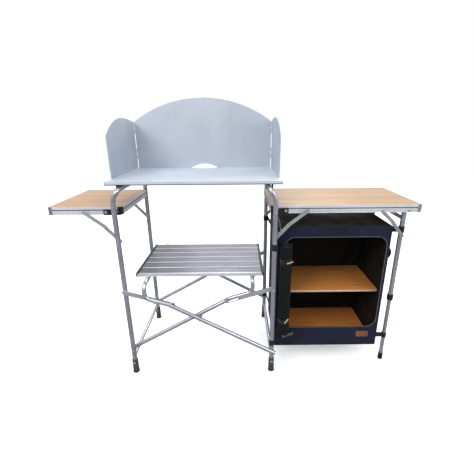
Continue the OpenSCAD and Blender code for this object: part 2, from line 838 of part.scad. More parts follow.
module shelf_board_at(top) {
    color(orange) translate([cup_left + 7, -board_front, top - shelf_board])
        linear_extrude(shelf_board)
        rounded(cup_right - cup_left - 14, board_front + cup_back - 7, 3);
}

module upper_board() { shelf_board_at(upper_board_top); }
module lower_board() { shelf_board_at(cup_low + fabric + 0.2 + shelf_board); }

left_leg_frame();
left_stretcher();
left_feet();
left_leg_pins();
cross_tube_a();
cross_a_rivets();
cross_tube_b();
cross_b_pins();
left_links();
right_links();
right_leg_frame();
right_stretcher();
right_feet();
right_leg_pins();
shelf_slats();
shelf_end_rails();
shelf_edge_rails();
shelf_clips();
top_plate();
top_plate_clips();
windshield_back();
left_wing();
right_wing();
left_table_board();
left_table_side_rails();
left_table_end_rails();
left_table_corners();
left_table_brackets();
left_table_pins();
left_upper_stays();
left_lower_stays();
right_table_board();
right_table_side_rails();
right_table_end_rails();
right_table_corners();
right_table_brackets();
right_table_pins();
right_upper_stays();
right_lower_stays();
stay_springs();
outer_upper_legs();
outer_stretcher();
outer_collars();
outer_leg_pins();
outer_lower_legs();
outer_feet();
outer_upper_stays();
outer_lower_stays();
cupboard_front();
cupboard_sides();
cupboard_back();
cupboard_top();
cupboard_bottom();
cupboard_piping();
door_roll();
cupboard_straps();
outer_straps();
cupboard_handle();
upper_board();
lower_board();
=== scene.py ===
"""Camp kitchen table: finishes for the CAD parts, the fabric cupboard, its webbing, and a studio."""
import math

import bpy
from mathutils import Matrix, Vector, noise


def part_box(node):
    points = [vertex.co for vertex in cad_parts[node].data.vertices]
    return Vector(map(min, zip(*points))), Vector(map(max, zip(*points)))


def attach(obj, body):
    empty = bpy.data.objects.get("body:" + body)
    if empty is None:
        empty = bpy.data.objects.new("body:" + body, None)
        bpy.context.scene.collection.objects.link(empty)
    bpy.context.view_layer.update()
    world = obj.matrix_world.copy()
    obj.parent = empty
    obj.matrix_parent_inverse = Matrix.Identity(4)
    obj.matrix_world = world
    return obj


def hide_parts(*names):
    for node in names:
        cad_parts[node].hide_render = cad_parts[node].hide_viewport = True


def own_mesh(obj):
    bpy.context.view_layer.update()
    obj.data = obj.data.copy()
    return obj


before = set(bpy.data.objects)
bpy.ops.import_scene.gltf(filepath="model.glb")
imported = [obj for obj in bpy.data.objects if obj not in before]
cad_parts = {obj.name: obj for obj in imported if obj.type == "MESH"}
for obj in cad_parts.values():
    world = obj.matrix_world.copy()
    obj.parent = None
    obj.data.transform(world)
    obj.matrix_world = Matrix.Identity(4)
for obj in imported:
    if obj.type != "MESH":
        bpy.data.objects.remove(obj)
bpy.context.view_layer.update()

MM = 0.001
RIGHT = "right_frame"
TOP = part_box("top_plate")[1][2]              # height of the metal top
RAIL_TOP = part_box("left_table_board")[0][2]  # height of the rails' upper edge, under the boards
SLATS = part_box("shelf_slats")
SLAT_COUNT, SLAT_GAP = 6, 3.5 * MM
SLAT_PITCH = (SLATS[1][1] - SLATS[0][1] + SLAT_GAP) / SLAT_COUNT
LEG_RADIUS = 9 * MM
FABRIC = 1.6 * MM                            # thickness of the coated cloth and of the strap loops


# ---------- colours and node helpers ----------

def srgb(red, green, blue):
    """A linear colour from ordinary 0 to 255 values."""
    def linear(value):
        value /= 255
        return value / 12.92 if value <= 0.04045 else ((value + 0.055) / 1.055) ** 2.4
    return (linear(red), linear(green), linear(blue), 1.0)


def scaled(colour, share):
    """The colour made darker or lighter by a share."""
    return tuple(c * share for c in colour[:3]) + (1,)


class Finish:
    """A material made of a principled shader and the texture nodes that feed it."""

    def __init__(self, name, **sockets):
        self.material = bpy.data.materials.new(name)
        self.material.use_nodes = True
        self.tree = self.material.node_tree
        self.shader = self.tree.nodes["Principled BSDF"]
        self.coords = self.tree.nodes.new("ShaderNodeTexCoord")
        for socket, value in sockets.items():
            self.shader.inputs[socket.replace("_", " ")].default_value = value

    def node(self, kind, values=None, **settings):
        """A new node; values go to its sockets and settings to its own fields."""
        made = self.tree.nodes.new(kind)
        for key, value in settings.items():
            setattr(made, key, value)
        for key, value in (values or {}).items():
            made.inputs[key].default_value = value
        return made

    def link(self, source, target):
        self.tree.links.new(source, target)

    def placed(self, scale=(1, 1, 1), space="Object"):
        """Coordinates in metres, or along the UV map, stretched by scale."""
        mapping = self.node("ShaderNodeMapping", {"Scale": scale})
        self.link(self.coords.outputs[space], mapping.inputs["Vector"])
        return mapping.outputs["Vector"]

    def position(self):
        """A node with the X, Y and Z of the shaded point in the part's frame."""
        made = self.node("ShaderNodeSeparateXYZ")
        self.link(self.coords.outputs["Object"], made.inputs["Vector"])
        return made

    def noise(self, scale, stretch=(1, 1, 1), detail=4.0, rough=0.55, space="Object"):
        made = self.node("ShaderNodeTexNoise", {"Scale": scale, "Detail": detail, "Roughness": rough})
        self.link(self.placed(stretch, space=space), made.inputs["Vector"])
        return made.outputs["Fac"]

    def wave(self, scale, direction):
        """Even ribs along the UV map."""
        made = self.node("ShaderNodeTexWave", {"Scale": scale}, bands_direction=direction)
        self.link(self.placed(space="UV"), made.inputs["Vector"])
        return made.outputs["Fac"]

    def span(self, source, low, high, start=0.3, end=0.7):
        """The source carried from start to end over to low to high."""
        made = self.node("ShaderNodeMapRange", {"From Min": start, "From Max": end,
                                                "To Min": low, "To Max": high})
        self.link(source, made.inputs["Value"])
        return made.outputs["Result"]

    def math(self, operation, first, second):
        """A sum on two numbers or sockets."""
        made = self.node("ShaderNodeMath", operation=operation)
        for socket, value in zip(made.inputs, (first, second)):
            if isinstance(value, (int, float)):
                socket.default_value = value
            else:
                self.link(value, socket)
        return made.outputs["Value"]

    def ramp(self, source, *stops):
        """A colour ramp through (place, colour) stops."""
        made = self.node("ShaderNodeValToRGB")
        elements = made.color_ramp.elements
        while len(elements) < len(stops):
            elements.new(0.5)
        for element, (place, colour) in zip(elements, stops):
            element.position = place
            element.color = colour
        self.link(source, made.inputs["Fac"])
        return made.outputs["Color"]

    def mix(self, factor, first, second):
        """The first colour blended into the second by factor."""
        made = self.node("ShaderNodeMix", data_type="RGBA")
        for socket, value in ((made.inputs[0], factor), (made.inputs[6], first), (made.inputs[7], second)):
            if isinstance(value, (int, float, tuple)):
                socket.default_value = value
            else:
                self.link(value, socket)
        return made.outputs[2]

    def base(self, colour):
        self.link(colour, self.shader.inputs["Base Color"])

    def rough(self, value):
        self.link(value, self.shader.inputs["Roughness"])

    def bump(self, height, distance, strength):
        made = self.node("ShaderNodeBump", {"Distance": distance, "Strength": strength})
        self.link(height, made.inputs["Height"])
        self.link(made.outputs["Normal"], self.shader.inputs["Normal"])
        return self


# ---------- finishes ----------

def metal(name, light, dark, low, high, stretch, share=1.0, lines_and_painted_light=(), repeat=None):
    """Anodised or plated metal: drawn lines along one direction, cloudy gloss, a few dull marks.

    Each band, given as (axis, from, to, colour), is painted into the colour: drawn lines and lips, and also
    painted shade under a part or a rim and painted highlights on edges and grooves.
    With repeat, (start, pitch), they are shares of a pattern that repeats along the axis."""
    made = Finish(name, Metallic=share)
    lines = made.noise(1.0, stretch, detail=3)
    clouds = made.noise(9.0, detail=5)
    marks = made.noise(60.0, (1, 1, 0.25), detail=8, rough=0.7)
    tone = made.mix(made.span(clouds, 0.0, 1.0), dark, light)
    tone = made.mix(made.span(marks, 0.0, 0.35, 0.62, 0.72), tone, scaled(dark, 0.55))
    place = made.position()
    # Each band paints a colour in: drawn lines, or painted shade and painted highlights.
    for axis, start, end, colour in lines_and_painted_light:
        where = place.outputs[axis]
        if repeat:
            pitches = made.math("DIVIDE", made.math("SUBTRACT", where, repeat[0]), repeat[1])
            where = made.math("FRACT", pitches, 0.0)
        past, short = made.math("GREATER_THAN", where, start), made.math("LESS_THAN", where, end)
        inside = made.math("MULTIPLY", past, short)
        tone = made.mix(inside, tone, colour)
    made.base(tone)
    made.rough(made.math("ADD", made.span(lines, low, high), made.span(marks, 0.0, 0.12, 0.5, 0.75)))
    return made.bump(lines, 0.00003, 0.5).material


def plastic(name, colour, low, high, grain=900.0, depth=0.00006):
    """Moulded plastic or rubber with a fine spark-eroded grain and dusty patches."""
    made = Finish(name)
    skin = made.noise(grain, detail=2)
    dust = made.noise(35.0, detail=6)
    light = tuple(min(1.0, c * 2.2 + 0.01) for c in colour[:3]) + (1,)
    made.base(made.mix(made.span(dust, 0.0, 0.6, 0.5, 0.8), colour, light))
    made.rough(made.span(dust, low, high))
    return made.bump(skin, depth, 0.5).material


def laminated_bamboo():
    """Narrow bamboo strips along X with growth lines, as on the side tables."""
    made = Finish("bamboo_board", Coat_Weight=0.25, Coat_Roughness=0.25)
    strips = made.node("ShaderNodeTexBrick", {"Scale": 1.0, "Mortar Size": 0.00012, "Brick Width": 0.31,
                                              "Row Height": 0.021, "Color1": srgb(182, 146, 107),
                                              "Color2": srgb(165, 128, 89), "Mortar": srgb(124, 90, 56)},
                       offset=0.37, squash=1.0)
    made.link(made.placed(), strips.inputs["Vector"])
    fibre = made.noise(1.0, (5, 420, 60), detail=6, rough=0.7)
    cloud = made.noise(7.0, (0.6, 2.5, 1), detail=4)
    grain = made.mix(made.span(fibre, 0.0, 0.55, 0.35, 0.75), strips.outputs["Color"], srgb(144, 102, 60))
    made.base(made.mix(made.span(cloud, 0.0, 0.3), grain, srgb(200, 164, 120)))
    made.rough(made.span(fibre, 0.34, 0.5))
    return made.bump(fibre, 0.00008, 0.4).material


def cupboard_wood():
    """Orange-brown board with long dark grain and a pale band on its front edge."""
    made = Finish("cupboard_wood", Coat_Weight=0.3, Coat_Roughness=0.22)
    rings = made.node("ShaderNodeTexWave", {"Scale": 9.0, "Distortion": 5.0, "Detail": 4.0,
                                            "Detail Scale": 1.6}, bands_direction="Y")
    made.link(made.placed((0.35, 3.2, 1)), rings.inputs["Vector"])
    fibre = made.noise(1.0, (7, 380, 90), detail=6, rough=0.65)
    tone = made.ramp(rings.outputs["Fac"], (0.0, srgb(176, 98, 42)), (0.45, srgb(224, 144, 68)),
                     (1.0, srgb(240, 170, 94)))
    grain = made.mix(made.span(fibre, 0.0, 0.6, 0.4, 0.75), tone, srgb(150, 80, 30))
    place = made.position()
    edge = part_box("upper_board")[0][1]
    banding = made.mix(made.span(fibre, 0.0, 1.0), srgb(178, 152, 126), srgb(152, 124, 98))
    on_edge = made.span(place.outputs["Y"], 1.0, 0.0, edge + 0.4 * MM, edge + 0.8 * MM)
    made.base(made.mix(on_edge, grain, banding))
    made.rough(made.span(fibre, 0.32, 0.5))
    return made.bump(fibre, 0.0001, 0.4).material


def cloth(name, dark, light, sheen, threads=420.0):
    """Coated polyester: over-and-under weave, slubs, and a cloudy tone that varies at random."""
    made = Finish(name, Sheen_Weight=sheen, Sheen_Roughness=0.5, Specular_IOR_Level=0.25)
    across = made.wave(threads, "X")
    along = made.wave(threads, "Y")
    weave = made.math("MULTIPLY", across, along)
    slub = made.noise(1.0, (900, 60, 1), detail=3, space="UV")
    cloud = made.noise(14.0, detail=5)
    tone = made.mix(made.span(cloud, 0.0, 0.6, 0.35, 0.75), dark, light)
    thread = made.mix(made.span(weave, 0.0, 0.3, 0.2, 1.0), tone, light)
    made.base(made.mix(made.span(slub, 0.0, 0.2, 0.5, 0.8), thread, scaled(light, 1.3)))
    made.rough(made.span(cloud, 0.55, 0.78))
    return made.bump(made.math("ADD", weave, made.math("MULTIPLY", slub, 0.6)), 0.00035, 0.5).material


def webbing_weave():
    """Ribbed nylon webbing: chevron ribs across a strap, with a soft shine."""
    made = Finish("webbing", Sheen_Weight=0.1, Specular_IOR_Level=0.25)
    ribs = made.wave(330.0, "DIAGONAL")
    edge = made.wave(120.0, "Y")
    made.base(made.mix(made.span(ribs, 0.0, 1.0, 0.2, 0.9), srgb(7, 7, 9), srgb(20, 21, 24)))
    made.rough(made.span(edge, 0.5, 0.7))
    return made.bump(made.math("ADD", ribs, edge), 0.0005, 0.6).material


def zip_tape():
    """Grey zip: coil teeth along the tape."""
    made = Finish("zip_tape")
    teeth = made.wave(210.0, "X")
    dirt = made.noise(30.0, detail=5)
    made.base(made.mix(made.span(teeth, 0.0, 1.0, 0.3, 0.7), srgb(40, 43, 52), srgb(96, 101, 114)))
    made.rough(made.span(dirt, 0.4, 0.6))
    return made.bump(teeth, 0.0006, 0.8).material


def corner_cap(far):
    """Corner pieces of the tables: black plastic near the tower, bare aluminium at the outer end."""
    made = Finish("corner_cap")
    place = made.position()
    outer = made.math("GREATER_THAN", made.math("ABSOLUTE", place.outputs["X"], 0.0), far)
    scuffs = made.noise(70.0, detail=7, rough=0.7)
    black = made.mix(made.span(scuffs, 0.0, 0.7, 0.5, 0.8), srgb(16, 16, 18), srgb(52, 52, 56))
    bare = made.mix(made.span(scuffs, 0.0, 1.0), srgb(168, 171, 178), srgb(204, 207, 213))
    made.base(made.mix(outer, black, bare))
    made.link(outer, made.shader.inputs["Metallic"])
    made.rough(made.span(scuffs, 0.32, 0.5))
    return made.bump(scuffs, 0.00006, 0.5).material


FINISH = {
    "tube": metal("anodised_tube", srgb(198, 199, 207), srgb(172, 174, 184), 0.2, 0.34, (260, 260, 5),
                  share=0.8),
    "bright": metal("extruded_aluminium", srgb(226, 228, 232), srgb(206, 209, 215), 0.24, 0.36,
                    (4, 420, 420), share=0.6),
    "rail": metal("table_rail", srgb(226, 228, 232), srgb(206, 209, 215), 0.24, 0.36, (4, 420, 420),
                  share=0.55,
                  # The dark band along the rail's upper edge is painted shadow under the board; the two thin
                  # lines lower down are drawn lines.
                  lines_and_painted_light=(("Z", RAIL_TOP - 3.6 * MM, RAIL_TOP + 0.4 * MM, srgb(92, 94, 100)),
                            ("Z", RAIL_TOP - 9.6 * MM, RAIL_TOP - 9.0 * MM, srgb(150, 152, 160)),
                            ("Z", RAIL_TOP - 13.2 * MM, RAIL_TOP - 12.6 * MM, srgb(150, 152, 160)))),
    "slat": metal("shelf_aluminium", srgb(132, 132, 140), srgb(110, 110, 118), 0.3, 0.42, (4, 300, 300),
                  # Painted light on each slat: a painted highlight along its front edge, and at its middle a
                  # thin painted shade line beside a painted highlight line, standing in for a groove.
                  lines_and_painted_light=(("Y", 0.0, 0.07, srgb(212, 212, 217)), ("Y", 0.45, 0.475, srgb(84, 84, 90)),
                            ("Y", 0.475, 0.5, srgb(172, 172, 178))), repeat=(SLATS[0][1], SLAT_PITCH)),
    "sheet": metal("satin_sheet", srgb(190, 196, 205), srgb(178, 185, 196), 0.4, 0.52, (330, 330, 3),
                   share=0.6),
    "plate": metal("top_sheet", srgb(208, 214, 222), srgb(196, 203, 212), 0.38, 0.5, (3, 330, 330),
                   # Everything more than 8.8 mm below the top is painted dark: painted shade beneath the
                   # bright front edge of the folded rim.
                   share=0.6, lines_and_painted_light=(("Z", 0.0, TOP - 8.8 * MM, srgb(86, 88, 94)),)),
    "steel": metal("zinc_steel", srgb(212, 214, 218), srgb(176, 179, 185), 0.2, 0.34, (90, 90, 90),
                   share=0.75),
    "plastic": plastic("black_plastic", srgb(14, 14, 16), 0.38, 0.55),
    "rubber": plastic("foot_rubber", srgb(54, 53, 50), 0.6, 0.8, 500.0, 0.00012),
    "cap": corner_cap(far=0.4),
    "toggle": plastic("tan_toggle", srgb(158, 130, 106), 0.35, 0.5, 300.0, 0.0001),
    "bamboo": laminated_bamboo(),
    "wood": cupboard_wood(),
    "navy": cloth("navy_polyester", srgb(5, 9, 27), srgb(13, 21, 56), sheen=0.06),
    "lining": cloth("black_lining", srgb(4, 6, 7), srgb(9, 12, 13), threads=520.0, sheen=0.02),
    "patch": cloth("patch_cloth", srgb(92, 48, 26), srgb(140, 80, 42), threads=700.0, sheen=0.1),
    "webbing": webbing_weave(),
    "zip": zip_tape(),
}

NODE_FINISH = {
    "tube": ["left_leg_frame", "left_stretcher", "right_leg_frame", "right_stretcher", "cross_tube_a",
             "cross_tube_b", "outer_upper_legs", "outer_stretcher", "outer_lower_legs"],
    "rail": ["left_table_side_rails", "left_table_end_rails", "right_table_side_rails",
             "right_table_end_rails"],
    "bright": ["shelf_edge_rails"],
    "slat": ["shelf_slats"],
    "sheet": ["windshield_back", "left_wing", "right_wing"],
    "plate": ["top_plate"],
    "steel": ["left_leg_pins", "right_leg_pins", "cross_a_rivets", "cross_b_pins", "left_links",
              "right_links", "left_table_pins", "right_table_pins", "left_upper_stays",
              "left_lower_stays", "right_upper_stays", "right_lower_stays", "outer_leg_pins",
              "outer_upper_stays", "outer_lower_stays"],
    "plastic": ["shelf_end_rails", "shelf_clips", "top_plate_clips", "left_table_brackets",
                "right_table_brackets", "outer_collars", "outer_feet"],
    "cap": ["left_table_corners", "right_table_corners"],
    "rubber": ["left_feet", "right_feet"],
    "bamboo": ["left_table_board", "right_table_board"],
    "wood": ["upper_board", "lower_board"],
}


def dress_cad_nodes():
    """Gives every CAD node that stays visible its finish."""
    for finish, names in NODE_FINISH.items():
        for name in names:
            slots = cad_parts[name].data.materials
            slots.clear()
            slots.append(FINISH[finish])


# ---------- mesh helpers ----------

def piece(name, vertices, faces, finish, uvs):
    """A mesh object from plain lists; uvs has one (u, v) in metres for each vertex."""
    mesh = bpy.data.meshes.new(name)
    mesh.from_pydata([tuple(v) for v in vertices], [], faces)
    layer = mesh.uv_layers.new(name="UVMap")
    for loop in mesh.loops:
        layer.data[loop.index].uv = uvs[loop.vertex_index]
    mesh.polygons.foreach_set("use_smooth", [True] * len(mesh.polygons))
    mesh.materials.append(FINISH[finish])
    made = bpy.data.objects.new(name, mesh)
    bpy.context.scene.collection.objects.link(made)
    return made


def grid_faces(rows, columns, closed=False):
    """Quads of a grid of rows by columns of vertices; closed joins the last column to the first."""
    wide = columns if closed else columns - 1
    return [(r * columns + c, r * columns + (c + 1) % columns,
             (r + 1) * columns + (c + 1) % columns, (r + 1) * columns + c)
            for r in range(rows - 1) for c in range(wide)]


def swept_faces(rings, sides, closed):
    """Faces of a profile of so many sides carried along rings; its ends are joined if closed, or capped."""
    faces = grid_faces(rings, sides, closed=True)
    last = (rings - 1) * sides
    if closed:
        return faces + [(last + s, last + (s + 1) % sides, (s + 1) % sides, s) for s in range(sides)]
    return faces + [tuple(range(sides))[::-1], tuple(range(last, last + sides))]


def neighbours(path, index, closed):
    """The points before and after one point of a path; an open path stops at its ends."""
    before = path[index - 1] if closed or index else path[index]
    after = path[(index + 1) % len(path)] if closed or index + 1 < len(path) else path[index]
    return before, after


def keep_modifiers(made):
    """Turns the modifiers into the object's own mesh."""
    graph = bpy.context.evaluated_depsgraph_get()
    graph.update()
    mesh = bpy.data.meshes.new_from_object(made.evaluated_get(graph))
    made.modifiers.clear()
    made.data = mesh
    return made


def thicken(made, thickness, inner_finish=None, offset=0.0, smooth_levels=0):
    """Gives a thin sheet its thickness, and another finish on its inner side where one is named."""
    if smooth_levels:
        made.modifiers.new("smooth", "SUBSURF").levels = smooth_levels
    shell = made.modifiers.new("thickness", "SOLIDIFY")
    shell.thickness = thickness
    shell.offset = offset
    if inner_finish:
        made.data.materials.append(FINISH[inner_finish])
        shell.material_offset = 1
    return keep_modifiers(made)


def rounded_outline(x0, x1, z0, z1, radius, count):
    """count points round a rectangle with round corners, evenly spaced, starting at the lower left."""
    radius = max(radius, 0.001)
    straight = [(x1 - x0) - 2 * radius, (z1 - z0) - 2 * radius]
    arc = math.pi * radius / 2
    total = 2 * sum(straight) + 4 * arc
    starts = [((x0 + radius, z0), (1, 0)), ((x1, z0 + radius), (0, 1)),
              ((x1 - radius, z1), (-1, 0)), ((x0, z1 - radius), (0, -1))]
    points = []
    for index in range(count):
        along = total * index / count
        for side, (start, heading) in enumerate(starts):
            length = straight[side % 2]
            if along <= length:
                points.append((start[0] + heading[0] * along, start[1] + heading[1] * along))
                break
            along -= length
            if along <= arc:
                angle = along / radius
                end = (start[0] + heading[0] * length, start[1] + heading[1] * length)
                centre = (end[0] - heading[1] * radius, end[1] + heading[0] * radius)
                out = (heading[1], -heading[0])
                points.append(tuple(c + radius * (o * math.cos(angle) + h * math.sin(angle))
                                    for c, o, h in zip(centre, out, heading)))
                break
            along -= arc
    return points


def tube(name, path, radius, finish, closed=False, sides=8, flatten=1.0):
    """A round cord along a path of points, for piping and zip coils."""
    vertices, uvs = [], []
    run = 0.0
    for index, point in enumerate(path):
        before, after = neighbours(path, index, closed)
        heading = (Vector(after) - Vector(before)).normalized()
        side = heading.cross(Vector((0, 1, 0)))
        if side.length < 0.2:
            side = heading.cross(Vector((1, 0, 0)))
        side.normalize()
        up = side.cross(heading)
        for step in range(sides):
            angle = 2 * math.pi * step / sides
            out = math.cos(angle) * side + flatten * math.sin(angle) * up
            vertices.append(Vector(point) + radius * out)
            uvs.append((run, radius * angle))
        run += (Vector(after) - Vector(point)).length
    return piece(name, vertices, swept_faces(len(path), sides, closed), finish, uvs)


def strap(name, path, low, high, thickness, finish="webbing", closed=False):
    """Flat webbing that stands on edge from low to high and follows a path seen from above."""
    edge = (high - low) * 0.08
    front = [(low, 0.55), (low + edge, 1.0), ((low + high) / 2, 0.92), (high - edge, 1.0), (high, 0.55)]
    profile = front + [(z, -share) for z, share in reversed(front)]
    vertices, uvs = [], []
    run = 0.0
    for index, (x, y) in enumerate(path):
        before, after = neighbours(path, index, closed)
        heading = Vector((after[0] - before[0], after[1] - before[1], 0)).normalized()
        normal = Vector((heading.y, -heading.x, 0))
        for z, share in profile:
            vertices.append(Vector((x, y, z)) + normal * (thickness / 2 * share))
            uvs.append((run, z))
        run += math.dist(after, (x, y))
    return piece(name, vertices, swept_faces(len(path), len(profile), closed), finish, uvs)


def circle_path(x, y, radius):
    """Points round a circle seen from above, counterclockwise from +X."""
    count = 40
    return [(x + radius * math.cos(2 * math.pi * k / count),
             y + radius * math.sin(2 * math.pi * k / count)) for k in range(count)]


# ---------- cloth ----------

def slacken(made, pinned, slack, limit):
    """Lets a pinned panel relax with a little spare cloth, so that it buckles and sags as sewn fabric does.

    No point moves further than limit."""
    frames = 24
    rest = [v.co.copy() for v in made.data.vertices]
    group = made.vertex_groups.new(name="sewn")
    group.add(pinned, 1.0, "REPLACE")
    cloth_modifier = made.modifiers.new("cloth", "CLOTH")
    settings = cloth_modifier.settings
    settings.quality = 6
    settings.mass = 0.25
    settings.tension_stiffness = 18
    settings.compression_stiffness = 18
    settings.shear_stiffness = 6
    settings.bending_stiffness = 0.6
    settings.vertex_group_mass = "sewn"
    settings.shrink_min = -slack
    settings.effector_weights.gravity = 0.5
    cloth_modifier.collision_settings.use_collision = False
    cloth_modifier.point_cache.frame_end = frames
    scene = bpy.context.scene
    for step in range(1, frames + 1):
        scene.frame_set(step)
    keep_modifiers(made)
    made.vertex_groups.clear()
    for vertex, start in zip(made.data.vertices, rest):
        move = vertex.co - start
        if move.length > limit:
            vertex.co = start + move * (limit / move.length)
    scene.frame_set(1)


def wall(name, seed, corner, across, up, cells, finish, lining=None, slack=0.02, depth=8 * MM):
    """A sewn fabric panel from corner, spanning the vectors across and up, pinned round its edge.

    Its buckles stay within depth of the flat panel."""
    columns, rows = cells
    out = across.cross(up).normalized()
    vertices, uvs = [], []
    for row in range(rows):
        for column in range(columns):
            u, v = column / (columns - 1), row / (rows - 1)
            inside = math.sin(math.pi * u) * math.sin(math.pi * v)
            place = corner + across * u + up * v
            bend = noise.noise(place * 9 + Vector((seed, 0, 0))) * 3.0 + noise.noise(place * 26) * 0.9
            vertices.append(place + out * bend * MM * min(1.0, inside * 3))
            uvs.append((u * across.length, v * up.length))
    made = piece(name, vertices, grid_faces(rows, columns), finish, uvs)
    edge = [i for i in range(rows * columns)
            if i % columns in (0, columns - 1) or i // columns in (0, rows - 1)]
    slacken(made, edge, slack, 5 * MM)
    for vertex in made.data.vertices:
        bulge = (vertex.co - corner).dot(out)
        vertex.co += out * (depth * math.tanh(bulge / depth) - bulge)
    return thicken(made, FABRIC, lining, smooth_levels=1)


# ---------- cupboard ----------

def cupboard_size():
    """The cupboard's two far corners: front, left and low, and back, right and high."""
    low, high = Vector(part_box("cupboard_back")[0]), Vector(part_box("cupboard_back")[1])
    front = Vector(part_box("cupboard_front")[0])
    return Vector((low.x, front.y, low.z)), high


def packs_flat(made):
    """A fabric piece that rides with the right-hand end frame, on a mesh of its own."""
    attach(made, RIGHT)
    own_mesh(made)


def cupboard_walls():
    """The five plain panels. The side walls stay flat enough to clear the boards between them."""
    low, high = cupboard_size()
    size = high - low
    inset, side_depth = 1.5 * MM, 3.4 * MM
    x, y, z = Vector((size.x, 0, 0)), Vector((0, size.y, 0)), Vector((0, 0, size.z))
    left = wall("cupboard_left_wall", 1, low + Vector((inset, 0, 0)), y, z, (30, 50), "lining", "navy",
                depth=side_depth)
    right = wall("cupboard_right_wall", 2, low + x - Vector((inset, 0, 0)), y, z, (30, 50), "navy", "lining",
                 depth=side_depth)
    back = wall("cupboard_rear_wall", 3, low + y - Vector((0, inset, 0)), x, z, (44, 50), "lining")
    roof = wall("cupboard_roof", 4, low + z - Vector((0, 0, inset)), x, y, (44, 30), "lining", slack=0.012)
    base = wall("cupboard_base", 5, low + Vector((0, 0, inset)), x, y, (44, 30), "lining", slack=0.0)
    for made, node, slot, flat in ((left, "cupboard_sides", "navy_fabric", (size.y, size.z)),
                                   (right, "cupboard_sides", "navy_fabric", (size.y, size.z)),
                                   (back, "cupboard_back", "black_fabric", (size.x, size.z)),
                                   (roof, "cupboard_top", "black_fabric", (size.x, size.y)),
                                   (base, "cupboard_bottom", "black_fabric", (size.x, size.y))):
        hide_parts(node)
        packs_flat(made)


def door_outline(grow, count):
    """The rounded door opening, which the zip runs round."""
    zip_low, zip_high = (Vector(p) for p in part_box("cupboard_piping"))
    band = 5 * MM
    return rounded_outline(zip_low.x + band - grow, zip_high.x - band + grow,
                           zip_low.z + band - grow, zip_high.z - band + grow, 38 * MM + grow, count)


def cupboard_face():
    """The front panel with its door opening, pinned at its outer edge and at the zip."""
    low, high = cupboard_size()
    count, rings = 150, 11
    outer = rounded_outline(low.x, high.x, low.z, high.z, 8 * MM, count)
    inner = door_outline(0, count)
    vertices, uvs = [], []
    y = low.y + 1.5 * MM
    for ring in range(rings):
        share = ring / (rings - 1)
        for (x0, z0), (x1, z1) in zip(outer, inner):
            place = Vector((x0 + (x1 - x0) * share, y, z0 + (z1 - z0) * share))
            crown = math.sin(math.pi * share)
            bend = noise.noise(place * 12) * 1.6 + noise.noise(place * 30) * 0.6
            vertices.append(place + Vector((0, bend * crown * MM - 1.0 * MM * crown, 0)))
            uvs.append((place.x, place.z))
    made = piece("cupboard_face", vertices, grid_faces(rings, count, closed=True), "navy", uvs)
    edge = [i for i in range(rings * count) if i // count in (0, rings - 1)]
    slacken(made, edge, 0.015, 3 * MM)
    thicken(made, 2.2 * MM, smooth_levels=1)
    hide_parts("cupboard_front")
    packs_flat(made)


def cupboard_zip():
    """The zip's coil round the opening, and its binding."""
    low, _ = cupboard_size()
    count = 220
    coil = tube("zip_coil", [(x, low.y - 0.6 * MM, z) for x, z in door_outline(1.5 * MM, count)],
                1.5 * MM, "zip", closed=True)
    tape = tube("zip_binding", [(x, low.y + 0.2 * MM, z) for x, z in door_outline(4.5 * MM, count)],
                2.6 * MM, "webbing", closed=True, flatten=0.45)
    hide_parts("cupboard_piping")
    for made in (coil, tape):
        packs_flat(made)


def cupboard_edges():
    """Bound seams along the twelve edges of the cupboard."""
    low, high = cupboard_size()
    inset = 1.0 * MM
    x0, x1 = low.x + inset, high.x - inset
    y0, y1 = low.y + inset, high.y - inset
    z0, z1 = low.z + inset, high.z - inset

    def seam(name, start, end):
        """One bound edge that strays a little from the straight line."""
        steps = 40
        path = []
        for k in range(steps + 1):
            place = Vector(start).lerp(Vector(end), k / steps)
            sway = 0.5 * MM * math.sin(math.pi * k / steps)
            drift = Vector((noise.noise(place * 20), noise.noise(place * 17 + Vector((3, 3, 3))),
                            noise.noise(place * 19 + Vector((7, 7, 7)))))
            path.append(place + drift * sway)
        packs_flat(tube(name, path, 2.0 * MM, "webbing"))

    for a, z in enumerate((z0, z1)):
        for b, y in enumerate((y0, y1)):
            seam(f"seam_long_{a}{b}", (x0, y, z), (x1, y, z))
        for b, x in enumerate((x0, x1)):
            seam(f"seam_cross_{a}{b}", (x, y0, z), (x, y1, z))
    for a, y in enumerate((y0, y1)):
        for b, x in enumerate((x0, x1)):
            seam(f"seam_upright_{a}{b}", (x, y, z0), (x, y, z1))


